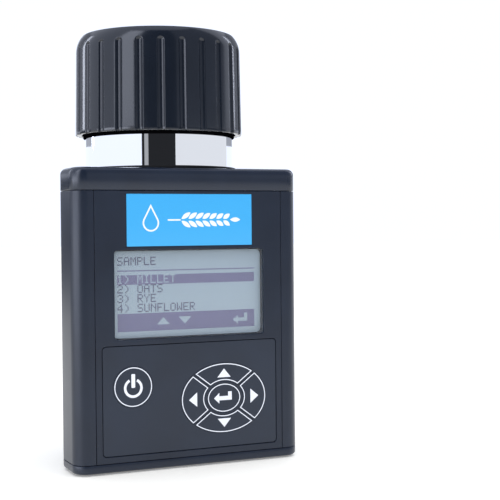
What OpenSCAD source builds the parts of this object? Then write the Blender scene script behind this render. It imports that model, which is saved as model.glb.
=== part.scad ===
// Hand-held grain moisture meter: a D-plan case with a display and keys in front, a steel measuring
// chamber on top and a fluted screw cap that presses the sample. The chamber's axis is the Z axis,
// the front faces -Y, and the rubber feet stand on z = 0.

/* [Case] */
// Width across the front corners
body_w = 112; // [108:1:118]
// Half of the case's depth, which is also the radius of its round back
back_r = 42; // [41:0.5:44]
// Radius of the vertical front corners
front_r = 7; // [5:0.5:8]
// Radius where the sides turn towards the back
side_r = 10; // [8:1:12]
// Thickness of the case walls
wall = 2.5; // [2:0.1:3]
// How far the rubber feet stand proud of the base
foot_h = 0.8; // [0.5:0.1:1.5]
// Height of the base cover
base_h = 4.2; // [4:0.1:5]
// Height of the case sleeve between the two covers
sleeve_h = 124; // [120:1:130]
// Height of the top cover
top_h = 10.6; // [10:0.2:12]

/* [Front] */
// Width of the inlaid front panel
panel_w = 92.7; // [92:0.1:94]
// Thickness of the front panel
panel_t = 2.6; // [2.4:0.1:3]
// Width of the display window
window_w = 74.4; // [70:0.2:76]
// Height of the display window
window_h = 40.8; // [38:0.1:42]
// Height of the window's centre above the table
window_z = 81.3; // [80:0.1:83]
// Width of the name plate
label_w = 62.3; // [58:0.1:66]
// Height of the name plate
label_h = 24; // [20:0.5:25]
// Height of the name plate's centre above the table
label_z = 115.4; // [114.5:0.1:116]

/* [Keys] */
// Width of the keypad film
pad_w = 86.6; // [86:0.1:87]
// Height of the keypad film
pad_h = 49.9; // [49:0.1:50.5]
// Height of the keypad film's centre above the table
pad_z = 33.2; // [32.8:0.1:33.6]
// Radius of the power key
power_r = 9.35; // [8:0.05:10]
// Half-width of the oval of four arrow keys
oval_a = 21.5; // [20:0.1:22]
// Half-height of the oval of four arrow keys
oval_b = 16.4; // [15.5:0.1:17]
// Half of the gap between two arrow keys
key_gap = 0.55; // [0.5:0.05:0.8]
// Running gap between a key and its hole
key_fit = 0.2; // [0.15:0.05:0.25]

/* [Chamber] */
// Outer radius of the chamber's neck
neck_r = 36.2; // [36:0.1:36.4]
// Inner radius of the chamber
chamber_r = 32.7; // [32:0.1:33]
// Height of the chamber's rim above the table
rim_z = 180; // [178:1:181]
// Outer radius of the chamber's threaded part
spigot_r = 34.8; // [34.7:0.05:34.9]

/* [Cap] */
// Radius of the cap at its lower rim
cap_r = 40.9; // [40.6:0.1:41]
// Radius of the cap at its top
cap_top_r = 40.3; // [40:0.1:40.6]
// Height of the cap shell
cap_h = 48.6; // [47:0.2:50]
// Radius of the cap's rounded shoulder
cap_edge = 12; // [10:0.5:14]
// Height of the cap's shoulder
cap_shoulder = 8.1; // [7:0.1:9]
// Number of finger flutes around the cap
flute_count = 25; // [18:1:30]
// Width of a flute across its mouth
flute_w = 3.5; // [3:0.1:4]
// Depth of a flute
flute_d = 1.0; // [0.8:0.1:1.2]
// Rise of the cap in one turn of its two-start thread
thread_lead = 6; // [5.6:0.1:6.4]

/* [Batteries] */
// Radius of one cell
cell_r = 7.1; // [7:0.05:7.15]
// Length of one cell
cell_l = 50; // [49:0.1:50.2]

/* [Hidden] */
$fn = 96;

big = 200;               // side of the blocks that trim a shape
cut = 1;                 // how far a cutter passes a face
part_fit = 0.2;          // gap between shells that push together
front_y = -back_r;       // plane of the front face
base_z = foot_h;
sleeve_z = base_z + base_h;
cover_z = sleeve_z + sleeve_h;
lid_z = cover_z + top_h;

// case outline: centres of the round corners and the direction of the slanted sides
corner_x = body_w / 2 - front_r;
corner_y = front_y + front_r;
flank_x = body_w / 2 - side_r;
flank_y = front_y + 20;
flank_turn = acos((back_r - side_r) / norm([flank_x, flank_y]));
flank_angle = atan2(flank_y, flank_x) + flank_turn;
flank_n = [cos(flank_angle), sin(flank_angle)];

// front stack, measured back from the front face
film_y = front_y + 0.2;
film_t = 0.4;
panel_back_y = front_y + panel_t;
ledge_x = 43;
ledge_back_y = panel_back_y + 2.5;
lens_y = front_y + 1.2;
lens_lip = 2;
window_r = 1.6;
pad_r = 1.8;
bezel_y = panel_back_y + 0.1;
bezel_w = window_w + 3;
bezel_h = window_h + 3;
glass_y = bezel_y + 0.6;
backlight_y = glass_y + 2.2;
display_board_y = backlight_y + 3.1;
board_t = 1.6;
spacer_l = 7.8;
main_board_y = display_board_y + board_t + spacer_l;
keypad_board_y = panel_back_y + 1.8;
board_posts = [for (x = [-36, 36], z = [window_z - 25.7, window_z + 25.7]) [x, z]];
keypad_posts = [for (x = [-38.5, 38.5], z = [13, 48.5]) [x, z]];

// keys
power_at = [-28.8, 39.3];
oval_at = [16.15, 31.4];
ring_a = 10.05;
ring_b = 8.15;
enter_a = 8.45;
enter_b = 6.8;
oval_slope = atan2(oval_b, oval_a);
arc_steps = 20;
flange_grow = 0.4;
key_back_y = panel_back_y + 0.7;
dome_h = 0.45;

// screws
corner_screws = [for (s = [-1, 1]) [s * 49, -31]];
flank_screws = [for (s = [-1, 1]) [s * 44.5, -8]];
rear_screws = [for (s = [-1, 1]) [s * 31, 18.5]];
bracket_at = [for (s = [-1, 1], p = [[38, -31.5], [44.6, -19.5]]) [s * p[0], p[1]]];
boss_r = 4.8;
small_boss_r = 4.2;
screw_r = 1.45;
pilot_r = 1.5;
head_r = 3;
head_h = 1.5;
feet_at = [for (s = [-1, 1], p = [[38, -30], [20, 28]]) [s * p[0], p[1]]];
foot_r = 5;
foot_pocket = 1.2;

// chamber
floor_z = 131;
floor_t = 2;
step_z = 158.6;
flange_z = lid_z - 5;
flange_t = 2;
flange_r = 39;
seal_r = 38;
hole_r = 37.2;
bush_r = 7;
electrode_r = 6;
electrode_top = 160;
shank_r = 2.5;
probe_at = [-20, 12];
bracket_t = 3;
sensor_board_z = floor_z - 4.6;

// cap, from its lower rim up
cap_z = lid_z + 17.6;
cap_top = cap_z + cap_h;
cap_draft = atan((cap_r - cap_top_r) / cap_h);
cap_bore = 38;
cap_plate = 4;
lip_h = 1.4;
insert_r = 37.95;
insert_bore = neck_r + 0.1;
insert_top = cap_z + 34.8;
flute_stop = 7;
flute_r = (pow(flute_w / 2, 2) + pow(flute_d, 2)) / (2 * flute_d);
flute_phase = -18.25 - 90;
thread_pitch = thread_lead / 2;
ridge_base = 1.4;
ridge_tip = 0.7;
thread_z = step_z + 3.4;
stem_r = 4;
stem_hole = 4.6;
plate_z = 175;
plate_t = 3.5;
plate_r = chamber_r - 0.5;
washer_t = 1.05;
washer_gap = 0.15;
washer_z = cap_top - cap_plate - washer_gap - washer_t;
clip_z = cap_top - 2.25;
spring_r = 12;
spring_wire = 1.1;
spring_turns = 6;

// batteries
door_x = 17.8;
door_z = 10.6;
door_h = 105.6;
door_gap = 0.2;
tray_x = 16.6;
tray_y = 19;
tray_back = 35;
tray_wall = 1.6;
tray_z = 12.4;
tray_h = 103.6;
cell_y = 27.6;

case_color = "#2b3140";
inner_color = "#3a3f49";
board_color = "#1f6b3a";
steel_color = "#d2d6da";

// ---- shared shapes

// outline of the case, pulled in by inset
module plan(inset = 0) {
    corner = front_r - inset;
    flank = side_r - inset;
    back = back_r - inset;
    half_w = body_w / 2 - inset;
    right = [
        [corner_x, front_y + inset], [half_w, corner_y], [half_w, flank_y],
        [flank_x, flank_y] + flank * flank_n, back * flank_n
    ];
    circle(r = back);
    for (s = [-1, 1]) {
        translate([s * corner_x, corner_y]) circle(r = corner);
        translate([s * flank_x, flank_y]) circle(r = flank);
    }
    polygon(concat(right, [for (i = [len(right) - 1:-1:0]) [-right[i][0], right[i][1]]]));
}

// inside of the case, behind the plane y = front
module inner_plan(inset, front) {
    intersection() {
        plan(inset);
        translate([-big / 2, front]) square(big);
    }
}

// a shape drawn in the front view, solid from y0 back to y1
module front_solid(y0, y1) {
    translate([0, y1, 0]) rotate([90, 0, 0]) linear_extrude(y1 - y0) children();
}

module round_rect(w, h, r) {
    for (x = [-1, 1], z = [-1, 1]) translate([x * (w / 2 - r), z * (h / 2 - r)]) circle(r = r);
    square([w - 2 * r, h], center = true);
    square([w, h - 2 * r], center = true);
}

module pegs(places, r, z0, z1) {
    for (p = places) translate([p[0], p[1], z0]) cylinder(r = r, h = z1 - z0);
}

module front_pegs(places, r, y0, y1) {
    for (p = places) translate([p[0], y1, p[1]]) rotate([90, 0, 0]) cylinder(r = r, h = y1 - y0);
}

module tube(r_out, r_in, z0, z1) {
    translate([0, 0, z0]) difference() {
        cylinder(r = r_out, h = z1 - z0);
        translate([0, 0, -cut]) cylinder(r = r_in, h = z1 - z0 + 2 * cut);
    }
}

// a countersunk screw with its head's top at z = 0, pointing down
module sunk_screw(length) {
    translate([0, 0, -head_h]) cylinder(r1 = screw_r, r2 = head_r, h = head_h);
    translate([0, 0, -length]) cylinder(r = screw_r, h = length - head_h / 2);
}

module sunk_hole() {
    translate([0, 0, -head_h - 0.1]) cylinder(r1 = 1.7, r2 = head_r + 0.2, h = head_h + 0.11);
    translate([0, 0, -30]) cylinder(r = 1.7, h = 30);
}

// ---- key outlines, about the centre of the oval

// ellipse angle at which the edge of an arrow key, gap off the diagonal, meets the ellipse a by b
function edge_turn(a, b, gap) =
    asin(gap / norm([a * sin(oval_slope), b * cos(oval_slope)]));
function edge_base(a, b) = atan2(a * sin(oval_slope), b * cos(oval_slope));
function arc_points(a, b, t0, t1) =
    [for (i = [0:arc_steps]) let (t = t0 + (t1 - t0) * i / arc_steps) [a * cos(t), b * sin(t)]];
// arrow key that points along +z: grow widens it on every side
function upper_key(grow) =
    let (ao = oval_a + grow, bo = oval_b + grow, ai = ring_a - grow, bi = ring_b - grow)
    let (to = edge_base(ao, bo) + edge_turn(ao, bo, key_gap - grow))
    let (ti = edge_base(ai, bi) + edge_turn(ai, bi, key_gap - grow))
    concat(arc_points(ao, bo, to, 180 - to), arc_points(ai, bi, 180 - ti, ti));
function side_key(grow) =
    let (ao = oval_a + grow, bo = oval_b + grow, ai = ring_a - grow, bi = ring_b - grow)
    let (to = edge_base(ao, bo) - edge_turn(ao, bo, key_gap - grow))
    let (ti = edge_base(ai, bi) - edge_turn(ai, bi, key_gap - grow))
    concat(arc_points(ao, bo, -to, to), arc_points(ai, bi, ti, -ti));

module power_shape(grow = 0) {
    translate(power_at) circle(r = power_r + grow);
}
module up_shape(grow = 0) {
    translate(oval_at) polygon(upper_key(grow));
}
module down_shape(grow = 0) {
    translate(oval_at) mirror([0, 1]) polygon(upper_key(grow));
}
module right_shape(grow = 0) {
    translate(oval_at) polygon(side_key(grow));
}
module left_shape(grow = 0) {
    translate(oval_at) mirror([1, 0]) polygon(side_key(grow));
}
module enter_shape(grow = 0) {
    translate(oval_at) polygon([
        for (i = [0:47]) [(enter_a + grow) * cos(i * 7.5), (enter_b + grow) * sin(i * 7.5)]
    ]);
}
module key_holes() {
    power_shape(key_fit);
    up_shape(key_fit);
    down_shape(key_fit);
    left_shape(key_fit);
    right_shape(key_fit);
    enter_shape(key_fit);
}

// a key: its face, a flange behind the panel and a stem over its dome
module key_body(stem_at) {
    color(case_color) {
        front_solid(front_y, panel_back_y + 0.1) children(0);
        front_solid(panel_back_y + 0.1, key_back_y) children(1);
        front_pegs([stem_at], 1.5, key_back_y, keypad_board_y - dome_h - 0.5);
    }
}
key_stems = [
    power_at, oval_at + [0, 12.1], oval_at - [0, 12.1], oval_at - [15.6, 0],
    oval_at + [15.6, 0], oval_at
];

// ---- case

module main_housing() {
    color(case_color) difference() {
        union() {
            translate([0, 0, sleeve_z]) linear_extrude(sleeve_h) difference() {
                plan();
                inner_plan(wall, ledge_back_y);
            }
            pegs(corner_screws, boss_r, sleeve_z + 3, cover_z - 3);
            pegs(flank_screws, small_boss_r, cover_z - 25, cover_z - 3);
            pegs(rear_screws, small_boss_r, sleeve_z + 3, sleeve_z + 32);
            tray_rails();
        }
        // slot that takes the front panel, and the opening behind it
        translate([-panel_w / 2 - part_fit, front_y - cut, sleeve_z - cut])
            cube([panel_w + 2 * part_fit, panel_t + cut, sleeve_h + 2 * cut]);
        translate([-ledge_x, front_y, sleeve_z - cut])
            cube([2 * ledge_x, panel_t + wall + cut, sleeve_h + 2 * cut]);
        // battery door
        translate([-door_x - door_gap, 30, door_z - door_gap])
            cube([2 * (door_x + door_gap), 20, door_h + 2 * door_gap]);
        pegs(concat(corner_screws, rear_screws), pilot_r, sleeve_z, sleeve_z + 22);
        pegs(concat(corner_screws, flank_screws), pilot_r, cover_z - 22, cover_z);
    }
}

// ribs inside the back that hold the battery tray's sides
module tray_rails() {
    translate([0, 0, tray_z]) linear_extrude(tray_h) intersection() {
        plan(wall / 2);
        for (s = [-1, 1]) translate([s * (tray_x + 1.25), 34]) square([2.5, 14], center = true);
    }
}

module base_cover() {
    color(case_color) difference() {
        union() {
            translate([0, 0, base_z]) linear_extrude(base_h) plan();
            translate([0, 0, sleeve_z - 0.5]) linear_extrude(2.3)
                inner_plan(wall + part_fit, ledge_back_y + part_fit);
        }
        translate([0, 0, base_z + 2.6]) linear_extrude(base_h + 3)
            inner_plan(wall + 2, ledge_back_y + 2);
        for (p = concat(corner_screws, rear_screws))
            translate([p[0], p[1], base_z + 0.4]) mirror([0, 0, 1]) sunk_hole();
        pegs(concat(corner_screws, rear_screws), head_r + 0.2, base_z - cut, base_z + 0.41);
        pegs(feet_at, foot_r, base_z - cut, base_z + foot_pocket);
    }
}

module rubber_feet() {
    color("#17181a") pegs(feet_at, foot_r, 0, base_z + foot_pocket);
}

module base_screws() {
    color(steel_color) for (p = concat(corner_screws, rear_screws))
        translate([p[0], p[1], base_z + 0.4]) mirror([0, 0, 1]) sunk_screw(18);
}

module top_cover() {
    color(case_color) difference() {
        union() {
            difference() {
                translate([0, 0, cover_z]) linear_extrude(top_h) plan();
                translate([0, 0, cover_z - cut]) linear_extrude(top_h - 3 + cut) plan(wall);
            }
            pegs(concat(corner_screws, flank_screws), small_boss_r, cover_z, lid_z - 2);
            pegs(bracket_at, 3, flange_z, lid_z - 2);
        }
        translate([0, 0, cover_z]) cylinder(r = hole_r, h = top_h + cut);
        for (p = concat(corner_screws, flank_screws)) translate([p[0], p[1], lid_z - 0.1]) sunk_hole();
        pegs(concat(corner_screws, flank_screws), head_r + 0.2, lid_z - 0.11, lid_z + cut);
        pegs(bracket_at, 1.15, flange_z - cut, lid_z - 1);
    }
}

module cover_screws() {
    color(steel_color) for (p = concat(corner_screws, flank_screws))
        translate([p[0], p[1], lid_z - 0.1]) sunk_screw(22);
}

// ---- front

module front_panel() {
    color(case_color) difference() {
        union() {
            translate([-panel_w / 2, front_y, sleeve_z]) cube([panel_w, panel_t, sleeve_h]);
            front_pegs(board_posts, 2.4, panel_back_y - 0.5, display_board_y);
            front_pegs(keypad_posts, 2, panel_back_y - 0.5, keypad_board_y);
        }
        front_solid(front_y - cut, panel_back_y + cut) {
            translate([0, window_z]) round_rect(window_w, window_h, window_r);
        }
        translate([-window_w / 2 - lens_lip, lens_y, window_z - window_h / 2 - lens_lip])
            cube([window_w + 2 * lens_lip, panel_t, window_h + 2 * lens_lip]);
        front_solid(front_y - cut, front_y + 0.5)
            translate([0, label_z]) square([label_w + 0.2, label_h + 0.2], center = true);
        front_solid(front_y - cut, film_y + film_t)
            translate([0, pad_z]) round_rect(pad_w + 0.2, pad_h + 0.2, pad_r);
        front_solid(film_y, panel_back_y + cut) key_holes();
        front_pegs(board_posts, 1.2, panel_back_y, display_board_y + cut);
        front_pegs(keypad_posts, 0.9, panel_back_y - 1, keypad_board_y + cut);
    }
}

module name_plate() {
    color("#3aa5f0") front_solid(front_y + 0.1, front_y + 0.5)
        translate([0, label_z]) square([label_w, label_h], center = true);
}

module keypad_film() {
    color("#22262f") front_solid(film_y, film_y + film_t) difference() {
        translate([0, pad_z]) round_rect(pad_w, pad_h, pad_r - 0.1);
        key_holes();
    }
}

module display_lens() {
    color("#dfe9f2") translate([
        -window_w / 2 - lens_lip + 0.1, lens_y, window_z - window_h / 2 - lens_lip + 0.1
    ]) cube([window_w + 2 * lens_lip - 0.2, panel_back_y - lens_y, window_h + 2 * lens_lip - 0.2]);
}

module display_bezel() {
    color("#202226") front_solid(bezel_y, backlight_y) translate([0, window_z]) difference() {
        square([bezel_w, bezel_h], center = true);
        square([window_w - 0.7, window_h - 0.8], center = true);
    }
}

module display_glass() {
    color("#b9c9dd") front_solid(glass_y, backlight_y) translate([0, window_z])
        square([window_w - 0.8, window_h - 0.9], center = true);
}

module display_backlight() {
    color("#f2f3ee") front_solid(backlight_y, display_board_y)
        translate([0, window_z]) square([bezel_w, bezel_h], center = true);
}

module display_board() {
    color(board_color) difference() {
        front_solid(display_board_y, display_board_y + board_t)
            translate([0, window_z]) square([84, 58], center = true);
        front_pegs(board_posts, 1.3, display_board_y - cut, display_board_y + board_t + cut);
    }
}

module board_spacers() {
    color("#b8964a") for (p = board_posts) translate([p[0], main_board_y, p[1]]) rotate([90, 0, 0])
        difference() {
            cylinder(r = 2.8, h = spacer_l, $fn = 6);
            translate([0, 0, -cut]) cylinder(r = 1.3, h = spacer_l + 2 * cut);
        }
}

module main_board() {
    back = main_board_y + board_t;
    color(board_color) difference() {
        union() {
            front_solid(main_board_y, back)
                translate([0, window_z + 2]) square([84, 64], center = true);
            // processor, memory, wire headers and the connector for the sensor lead
            translate([-9, back, window_z - 8]) cube([18, 1.6, 18]);
            translate([-32, back, window_z - 5]) cube([10, 1.8, 14]);
            translate([-9, back, tray_z + tray_h - 7]) cube([18, 4, 6]);
            translate([17, back, window_z + 26]) cube([8, 5, 8]);
        }
        front_pegs(board_posts, 1.3, main_board_y - cut, back + cut);
    }
}

module board_screws() {
    back = main_board_y + board_t;
    color(steel_color) {
        front_pegs(board_posts, 2.6, back, back + 1.6);
        front_pegs(board_posts, 1.15, panel_back_y + 0.5, back);
    }
}

module buzzer() {
    color("#1b1b1d") translate([0, main_board_y + board_t + 6.5, window_z - 20]) rotate([90, 0, 0])
        difference() {
            cylinder(r = 6, h = 6.5);
            translate([0, 0, 5.5 - 6.5 - cut]) cylinder(r = 1.2, h = 3);
        }
}

module keypad_board() {
    color(board_color) difference() {
        front_solid(keypad_board_y, keypad_board_y + board_t)
            translate([0, 30.5]) square([84, 41.5], center = true);
        front_pegs(keypad_posts, 1.1, keypad_board_y - cut, keypad_board_y + board_t + cut);
    }
}

module key_domes() {
    color(steel_color) for (p = key_stems) translate([p[0], keypad_board_y, p[1]]) rotate([90, 0, 0]) {
        cylinder(r1 = 4, r2 = 3, h = 0.25);
        translate([0, 0, 0.2]) cylinder(r1 = 3, r2 = 1.4, h = dome_h - 0.2);
    }
}

module keypad_screws() {
    back = keypad_board_y + board_t;
    color(steel_color) {
        front_pegs(keypad_posts, 1.9, back, back + 1.3);
        front_pegs(keypad_posts, 0.85, panel_back_y - 0.6, back);
    }
}

// flat cable from the keypad board, under the main board's lower edge and up its back
module ribbon_cable() {
    start = keypad_board_y + board_t;
    end = main_board_y + board_t;
    bend_z = 46.2;
    color("#c9ccd1") translate([-8, 0, 0]) {
        translate([0, start, 44]) cube([16, 2, 5]);
        translate([0, start + 2, bend_z]) cube([16, end - start - 0.4, 0.6]);
        translate([0, end + 1, bend_z]) cube([16, 0.6, 8.4]);
        translate([0, end, bend_z + 5.3]) cube([16, 1, 3.1]);
    }
}

// ---- keys

module power_key() {
    key_body(key_stems[0]) {
        power_shape();
        power_shape(flange_grow);
    }
}
module up_key() {
    key_body(key_stems[1]) {
        up_shape();
        up_shape(flange_grow);
    }
}
module down_key() {
    key_body(key_stems[2]) {
        down_shape();
        down_shape(flange_grow);
    }
}
module left_key() {
    key_body(key_stems[3]) {
        left_shape();
        left_shape(flange_grow);
    }
}
module right_key() {
    key_body(key_stems[4]) {
        right_shape();
        right_shape(flange_grow);
    }
}
module enter_key() {
    key_body(key_stems[5]) {
        enter_shape();
        enter_shape(flange_grow);
    }
}

// ---- measuring chamber

module neck_seal() {
    color("#17181a") {
        tube(hole_r, neck_r, lid_z - 3, lid_z);
        tube(seal_r, neck_r, lid_z, lid_z + 1.4);
    }
}

// one ridge of a right-hand thread, from radius r_base to r_tip, starting at z0
function ridge_section(r_base, r_tip) = [
    [r_base, -ridge_base / 2], [r_tip, -ridge_tip / 2], [r_tip, ridge_tip / 2], [r_base, ridge_base / 2]
];
module ridge(r_base, r_tip, z0, turns) {
    outline = ridge_section(r_base, r_tip);
    steps = round(turns * 40);
    points = [
        for (i = [0:steps], p = outline) let (a = i * 9)
            [p[0] * cos(a), p[0] * sin(a), z0 + thread_lead * a / 360 + p[1]]
    ];
    sides = [
        for (i = [0:steps - 1], k = [0:3]) let (j = (k + 1) % 4)
            [4 * i + k, 4 * i + j, 4 * (i + 1) + j, 4 * (i + 1) + k]
    ];
    faces = r_tip < r_base
        ? concat([[0, 1, 2, 3]], [for (f = sides) [f[3], f[2], f[1], f[0]]],
            [[for (k = [3:-1:0]) 4 * steps + k]])
        : concat([[3, 2, 1, 0]], sides, [[for (k = [0:3]) 4 * steps + k]]);
    polyhedron(points = points, faces = faces, convexity = 6);
}

module measuring_chamber() {
    color(steel_color) {
        difference() {
            rotate_extrude() polygon([
                [0, floor_z], [neck_r, floor_z], [neck_r, flange_z], [flange_r, flange_z],
                [flange_r, flange_z + flange_t], [neck_r, flange_z + flange_t], [neck_r, step_z],
                [spigot_r, step_z], [spigot_r, rim_z], [chamber_r, rim_z],
                [chamber_r, floor_z + floor_t], [0, floor_z + floor_t]
            ]);
            translate([0, 0, floor_z - cut]) cylinder(r = bush_r, h = floor_t + 2 * cut);
            translate([probe_at[0], probe_at[1], floor_z - cut]) cylinder(r = 1.9, h = floor_t + 2 * cut);
        }
        for (start = [0, 180]) rotate([0, 0, start]) ridge(spigot_r - 0.2, spigot_r + 1, thread_z, 1.5);
    }
}

module chamber_bracket() {
    color(inner_color) difference() {
        translate([0, 0, flange_z - bracket_t]) linear_extrude(bracket_t) difference() {
            plan(wall + part_fit);
            circle(r = neck_r + part_fit);
        }
        pegs(concat(corner_screws, flank_screws), small_boss_r + part_fit, cover_z, lid_z);
        pegs(bracket_at, 1.4, cover_z, lid_z);
    }
}

module bracket_screws() {
    color(steel_color) {
        pegs(bracket_at, 2.3, flange_z - bracket_t - 1.5, flange_z - bracket_t);
        pegs(bracket_at, 1.1, flange_z - bracket_t, lid_z - 1.6);
    }
}

module electrode_bush() {
    color("#efeee6") difference() {
        union() {
            translate([0, 0, floor_z - 0.8]) cylinder(r = bush_r, h = floor_t + 0.8);
            translate([0, 0, floor_z + floor_t]) cylinder(r = 9, h = 1.5);
        }
        translate([0, 0, floor_z - 2]) cylinder(r = shank_r, h = 8);
    }
}

module center_electrode() {
    base = floor_z + floor_t + 1.5;
    color(steel_color) {
        translate([0, 0, base]) cylinder(r = electrode_r, h = electrode_top - electrode_r - base);
        translate([0, 0, electrode_top - electrode_r]) intersection() {
            sphere(r = electrode_r);
            cylinder(r = 2 * electrode_r, h = 2 * electrode_r);
        }
        translate([0, 0, sensor_board_z]) cylinder(r = shank_r, h = base - sensor_board_z);
    }
}

module electrode_nut() {
    color(steel_color) translate([0, 0, floor_z - 2.8]) difference() {
        cylinder(r = 4.6, h = 2, $fn = 6);
        translate([0, 0, -cut]) cylinder(r = shank_r, h = 2 + 2 * cut);
    }
}

module temperature_probe() {
    color(steel_color) translate([probe_at[0], probe_at[1], 0]) {
        translate([0, 0, sensor_board_z + board_t]) cylinder(r = 3, h = floor_z - sensor_board_z - board_t);
        translate([0, 0, floor_z]) cylinder(r = 1.8, h = 7);
        translate([0, 0, floor_z + 7]) cylinder(r1 = 1.8, r2 = 1, h = 0.8);
    }
}

module sensor_board() {
    color(board_color) difference() {
        translate([0, 0, sensor_board_z]) cylinder(r = 29, h = board_t);
        translate([0, 0, sensor_board_z - cut]) cylinder(r = shank_r, h = board_t + 2 * cut);
    }
}

module sensor_lead() {
    top = window_z + 34;
    color("#17181a") translate([21, main_board_y + board_t + 2.5, top])
        cylinder(r = 1.2, h = sensor_board_z - top);
}

// ---- batteries

module battery_tray() {
    color(inner_color) difference() {
        translate([-tray_x, tray_y, tray_z]) cube([2 * tray_x, tray_back - tray_y, tray_h]);
        translate([-tray_x + tray_wall, tray_y + tray_wall - 0.2, tray_z + tray_wall])
            cube([2 * (tray_x - tray_wall), big, tray_h - 2 * tray_wall]);
    }
}

module battery_cells() {
    z0 = tray_z + tray_h / 2 - cell_l;
    color("#3f7f5a") for (x = [-1, 1], i = [0, 1]) translate([x * 7.4, cell_y, z0 + i * cell_l]) {
        cylinder(r = cell_r, h = cell_l - 1.6);
        translate([0, 0, cell_l - 1.6]) cylinder(r = 2.7, h = 1.5);
    }
}

// one wide plate joins the cells below, two single plates lie above them
module battery_contacts() {
    low = tray_z + tray_wall;
    high = tray_z + tray_h - tray_wall;
    gap_low = tray_h / 2 - cell_l - tray_wall;
    color(steel_color) {
        translate([-13, cell_y - 5, low]) cube([26, 10, gap_low]);
        for (x = [-1, 1]) translate([x * 7.4 - 5.5, cell_y - 5, high - 0.3]) cube([11, 10, 0.3]);
    }
}

module battery_leads() {
    start = main_board_y + board_t + 4;
    color("#b32020") front_pegs([for (s = [-5, 5]) [s, tray_z + tray_h - 4]], 0.9, start, tray_y);
}

module battery_door() {
    color(case_color) translate([0, 0, door_z]) linear_extrude(door_h) intersection() {
        difference() {
            circle(r = back_r);
            circle(r = back_r - wall);
        }
        translate([-door_x, 20]) square([2 * door_x, back_r]);
    }
}

// ---- cap

// side of the cap: a slightly tapered wall with a rounded top edge
module cap_profile() {
    middle = [cap_top_r - cap_edge, cap_h - cap_shoulder];
    polygon([
        [0, 0], [cap_r, 0], [cap_top_r, middle[1]], [middle[0], middle[1]], [middle[0], cap_h], [0, cap_h]
    ]);
    intersection() {
        translate(middle) circle(r = cap_edge);
        square([cap_top_r, cap_h]);
    }
}

module flute() {
    translate([cap_r + flute_r - flute_d, 0, cap_z - cut]) rotate([0, -cap_draft, 0]) {
        cylinder(r = flute_r, h = cap_h - flute_stop + cut, $fn = 24);
        translate([0, 0, cap_h - flute_stop + cut]) sphere(r = flute_r, $fn = 24);
    }
}

module cap_shell() {
    color(case_color) difference() {
        translate([0, 0, cap_z]) rotate_extrude() cap_profile();
        translate([0, 0, cap_z - cut]) cylinder(r = cap_bore, h = cap_h - cap_plate + cut);
        translate([0, 0, cap_z]) cylinder(r = stem_hole, h = cap_h + cut);
        translate([0, 0, cap_top - 2.4]) cylinder(r = 8.6, h = 5);
        for (i = [0:flute_count - 1]) rotate([0, 0, flute_phase + i * 360 / flute_count]) flute();
    }
}

// threaded liner inside the cap, with a lip that hangs below the rim
module cap_insert() {
    color("#17181a") {
        tube(neck_r + 1.1, neck_r + 0.4, cap_z - lip_h, cap_z + 0.2);
        tube(insert_r, neck_r + 0.4, cap_z + 0.2, cap_z + 2);
        tube(insert_r, insert_bore, cap_z + 2, insert_top);
        for (start = [0, 180]) rotate([0, 0, start])
            ridge(insert_bore + 0.2, spigot_r + 0.5, thread_z - thread_pitch / 2, 1.25);
    }
}

module thrust_washer() {
    color("#efeee6") tube(15, stem_hole, washer_z, washer_z + washer_t);
}

module pressure_plate() {
    color(steel_color) difference() {
        union() {
            translate([0, 0, plate_z]) cylinder(r = plate_r, h = plate_t);
            translate([0, 0, plate_z]) cylinder(r = 7, h = plate_t + 3.5);
        }
        translate([0, 0, plate_z + 1.5]) cylinder(r = stem_r + 0.03, h = 10);
    }
}

module indicator_pin() {
    color("#c9302c") translate([0, 0, plate_z + 1.5]) cylinder(r = stem_r, h = cap_top - 0.9 - plate_z - 1.5);
}

module retaining_clip() {
    color(steel_color) tube(7.6, stem_r + 0.03, clip_z, clip_z + 0.8);
}

// round wire swept along the coil
module pressure_spring() {
    sides = 8;
    low = plate_z + plate_t + spring_wire;
    high = washer_z - spring_wire;
    steps = spring_turns * 20;
    points = [
        for (i = [0:steps], k = [0:sides - 1])
            let (a = i * 18, b = k * 360 / sides, r = spring_r + spring_wire * cos(b))
            [r * cos(a), r * sin(a), low + (high - low) * i / steps + spring_wire * sin(b)]
    ];
    skin = [
        for (i = [0:steps - 1], k = [0:sides - 1]) let (j = (k + 1) % sides)
            [sides * i + k, sides * (i + 1) + k, sides * (i + 1) + j, sides * i + j]
    ];
    ends = [[for (k = [0:sides - 1]) k], [for (k = [sides - 1:-1:0]) sides * steps + k]];
    color("#9aa0a6") polyhedron(points = points, faces = concat(ends, skin), convexity = 10);
}

main_housing();
base_cover();
rubber_feet();
base_screws();
top_cover();
cover_screws();
front_panel();
name_plate();
keypad_film();
display_lens();
display_bezel();
display_glass();
display_backlight();
display_board();
board_spacers();
main_board();
board_screws();
buzzer();
keypad_board();
key_domes();
keypad_screws();
ribbon_cable();
neck_seal();
measuring_chamber();
chamber_bracket();
bracket_screws();
electrode_bush();
center_electrode();
electrode_nut();
temperature_probe();
sensor_board();
sensor_lead();
battery_tray();
battery_cells();
battery_contacts();
battery_leads();
battery_door();
power_key();
up_key();
down_key();
left_key();
right_key();
enter_key();
thrust_washer();
cap_shell();
cap_insert();
pressure_spring();
pressure_plate();
indicator_pin();
retaining_clip();
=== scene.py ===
"""Looks of the hand-held grain moisture meter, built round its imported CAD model.

Sizes are written in millimetres and turned into metres where a mesh is made. The front faces -Y and
the axis of the measuring chamber and cap is the Z axis.
"""
import math

import bmesh
import bpy
from mathutils import Matrix, Vector


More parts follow.
